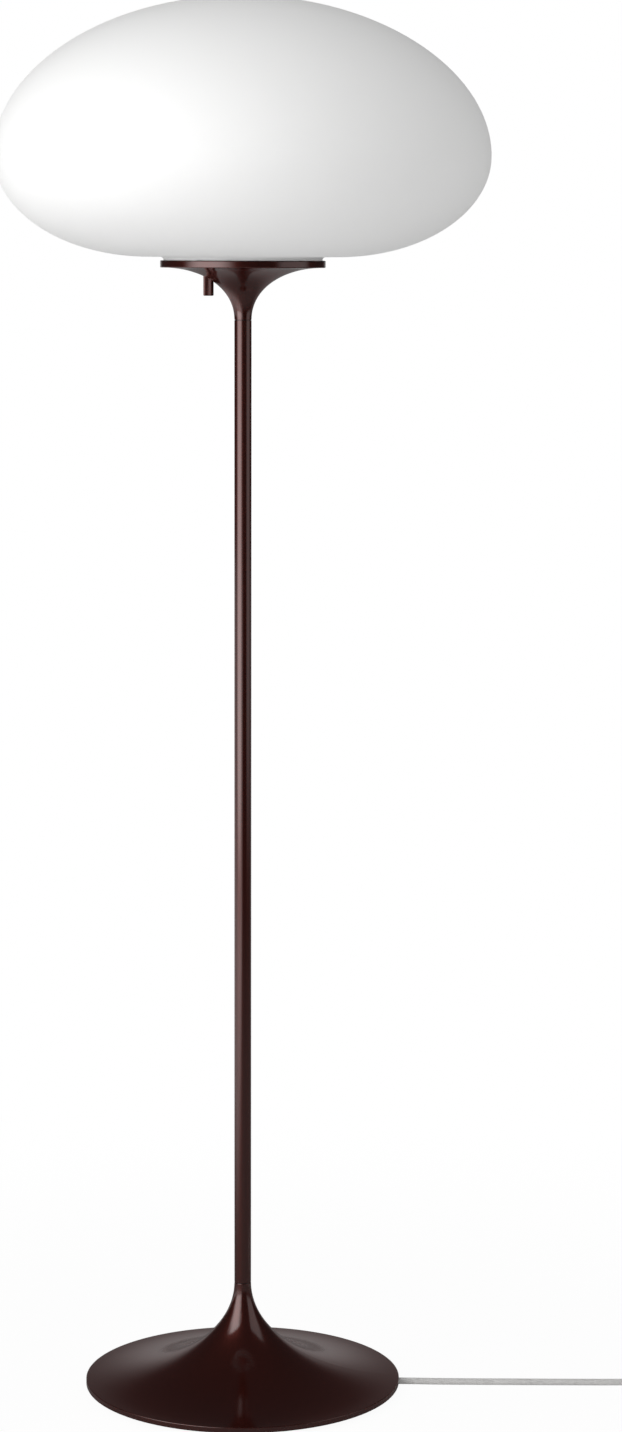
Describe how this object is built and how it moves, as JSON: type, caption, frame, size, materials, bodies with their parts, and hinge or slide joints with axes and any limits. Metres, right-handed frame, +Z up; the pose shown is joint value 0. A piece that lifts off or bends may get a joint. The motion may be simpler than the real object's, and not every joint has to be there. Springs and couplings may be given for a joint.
{
  "type": "floor lamp",
  "caption": "Slender floor lamp with an opal glass mushroom shade, a trumpet-shaped weighted base and a rotary dimmer knob under the shade.",
  "frame": {"origin": "centre of the base on the floor", "axes": "+Z up along the stem, +X towards the side where the mains cord leaves, the dimmer's knob towards -X"},
  "size_m": [0.7525, 0.47, 1.353],
  "materials": {
    "lacquer": "dark oxblood-brown semi-gloss lacquer",
    "lacquer_knob": "the same lacquer over a fine straight knurl",
    "ballast_iron": "rough cast, thin black wash",
    "blackened_steel": "black phosphate",
    "zinc_steel": "bright zinc plate",
    "pad_rubber": "matt foam rubber",
    "black_rubber": "satin moulded rubber",
    "white_enamel": "white heat-proof enamel",
    "clear_rubber": "translucent silicone",
    "opal_glass": "satin opal white, blown",
    "black_plastic": "moulded, fine grain",
    "circuit_board": "green solder mask",
    "brass": "turned",
    "white_ceramic": "glazed",
    "frosted_glass": "inside frosted",
    "nickel_cap": "nickel-plated, rolled",
    "dark_glass": "black glass",
    "solder": "dull solder",
    "clear_glass": "clear",
    "filament": "yellow phosphor",
    "cord_fabric": "light grey woven sleeve",
    "core_plastic": "smooth insulation",
    "plug_plastic": "light grey moulded",
    "pin_brass": "nickel-plated brass",
    "sleeve_plastic": "black insulating sleeve"
  },
  "bodies": {
    "stand": {"base_cover": "lacquer", "base_weight": "ballast_iron", "base_plate": "blackened_steel", "base_plate_screws": "zinc_steel", "base_pad": "pad_rubber", "base_nipple": "zinc_steel", "base_washer": "zinc_steel", "base_nut": "zinc_steel", "cord_bushing": "black_rubber", "cord_clamp": "zinc_steel", "cord_clamp_screws": "zinc_steel", "lower_coupling": "blackened_steel", "stem_tube": "lacquer", "upper_coupling": "blackened_steel", "upper_nipple": "zinc_steel", "gallery_body": "lacquer", "gallery_tray": "white_enamel", "gallery_washer": "zinc_steel", "gallery_nut": "zinc_steel", "glass_cushion": "clear_rubber", "dimmer_case": "black_plastic", "dimmer_lid": "black_plastic", "dimmer_board": "circuit_board", "dimmer_bushing": "brass", "dimmer_washer": "zinc_steel", "dimmer_nut": "brass", "holder_base": "black_plastic", "holder_nut": "zinc_steel", "holder_insert": "white_ceramic", "holder_skirt": "black_plastic", "thread_shell": "brass", "centre_contact": "brass", "terminal_screws": "zinc_steel", "inner_lead": "cord_fabric", "core_wires": "core_plastic", "cord_run": "cord_fabric", "cord_coil": "cord_fabric", "cord_tail": "cord_fabric", "plug_relief": "plug_plastic", "plug_body": "plug_plastic", "plug_pins": "pin_brass", "plug_pin_sleeves": "sleeve_plastic"},
    "shade": {"shade_glass": "opal_glass"},
    "bulb": {"bulb_glass": "frosted_glass", "bulb_cap": "nickel_cap", "bulb_insulator": "dark_glass", "bulb_contact": "solder", "bulb_stem": "clear_glass", "bulb_filaments": "filament"},
    "dimmer_knob": {"knob": "lacquer_knob", "dimmer_shaft": "zinc_steel"}
  },
  "joints": [
    {"name": "shade_lift", "type": "slide", "parent": "stand", "child": "shade", "axis": [0, 0, 1], "range_m": [0, 0.16]},
    {"name": "bulb_draw", "type": "slide", "parent": "stand", "child": "bulb", "axis": [0, 0, 1], "range_m": [0, 0.03]},
    {"name": "knob_turn", "type": "hinge", "parent": "stand", "child": "dimmer_knob", "pos_m": [-0.0328, 0, 1.0853], "axis": [0, 0, -1], "range_deg": [0, 270]}
  ]
}
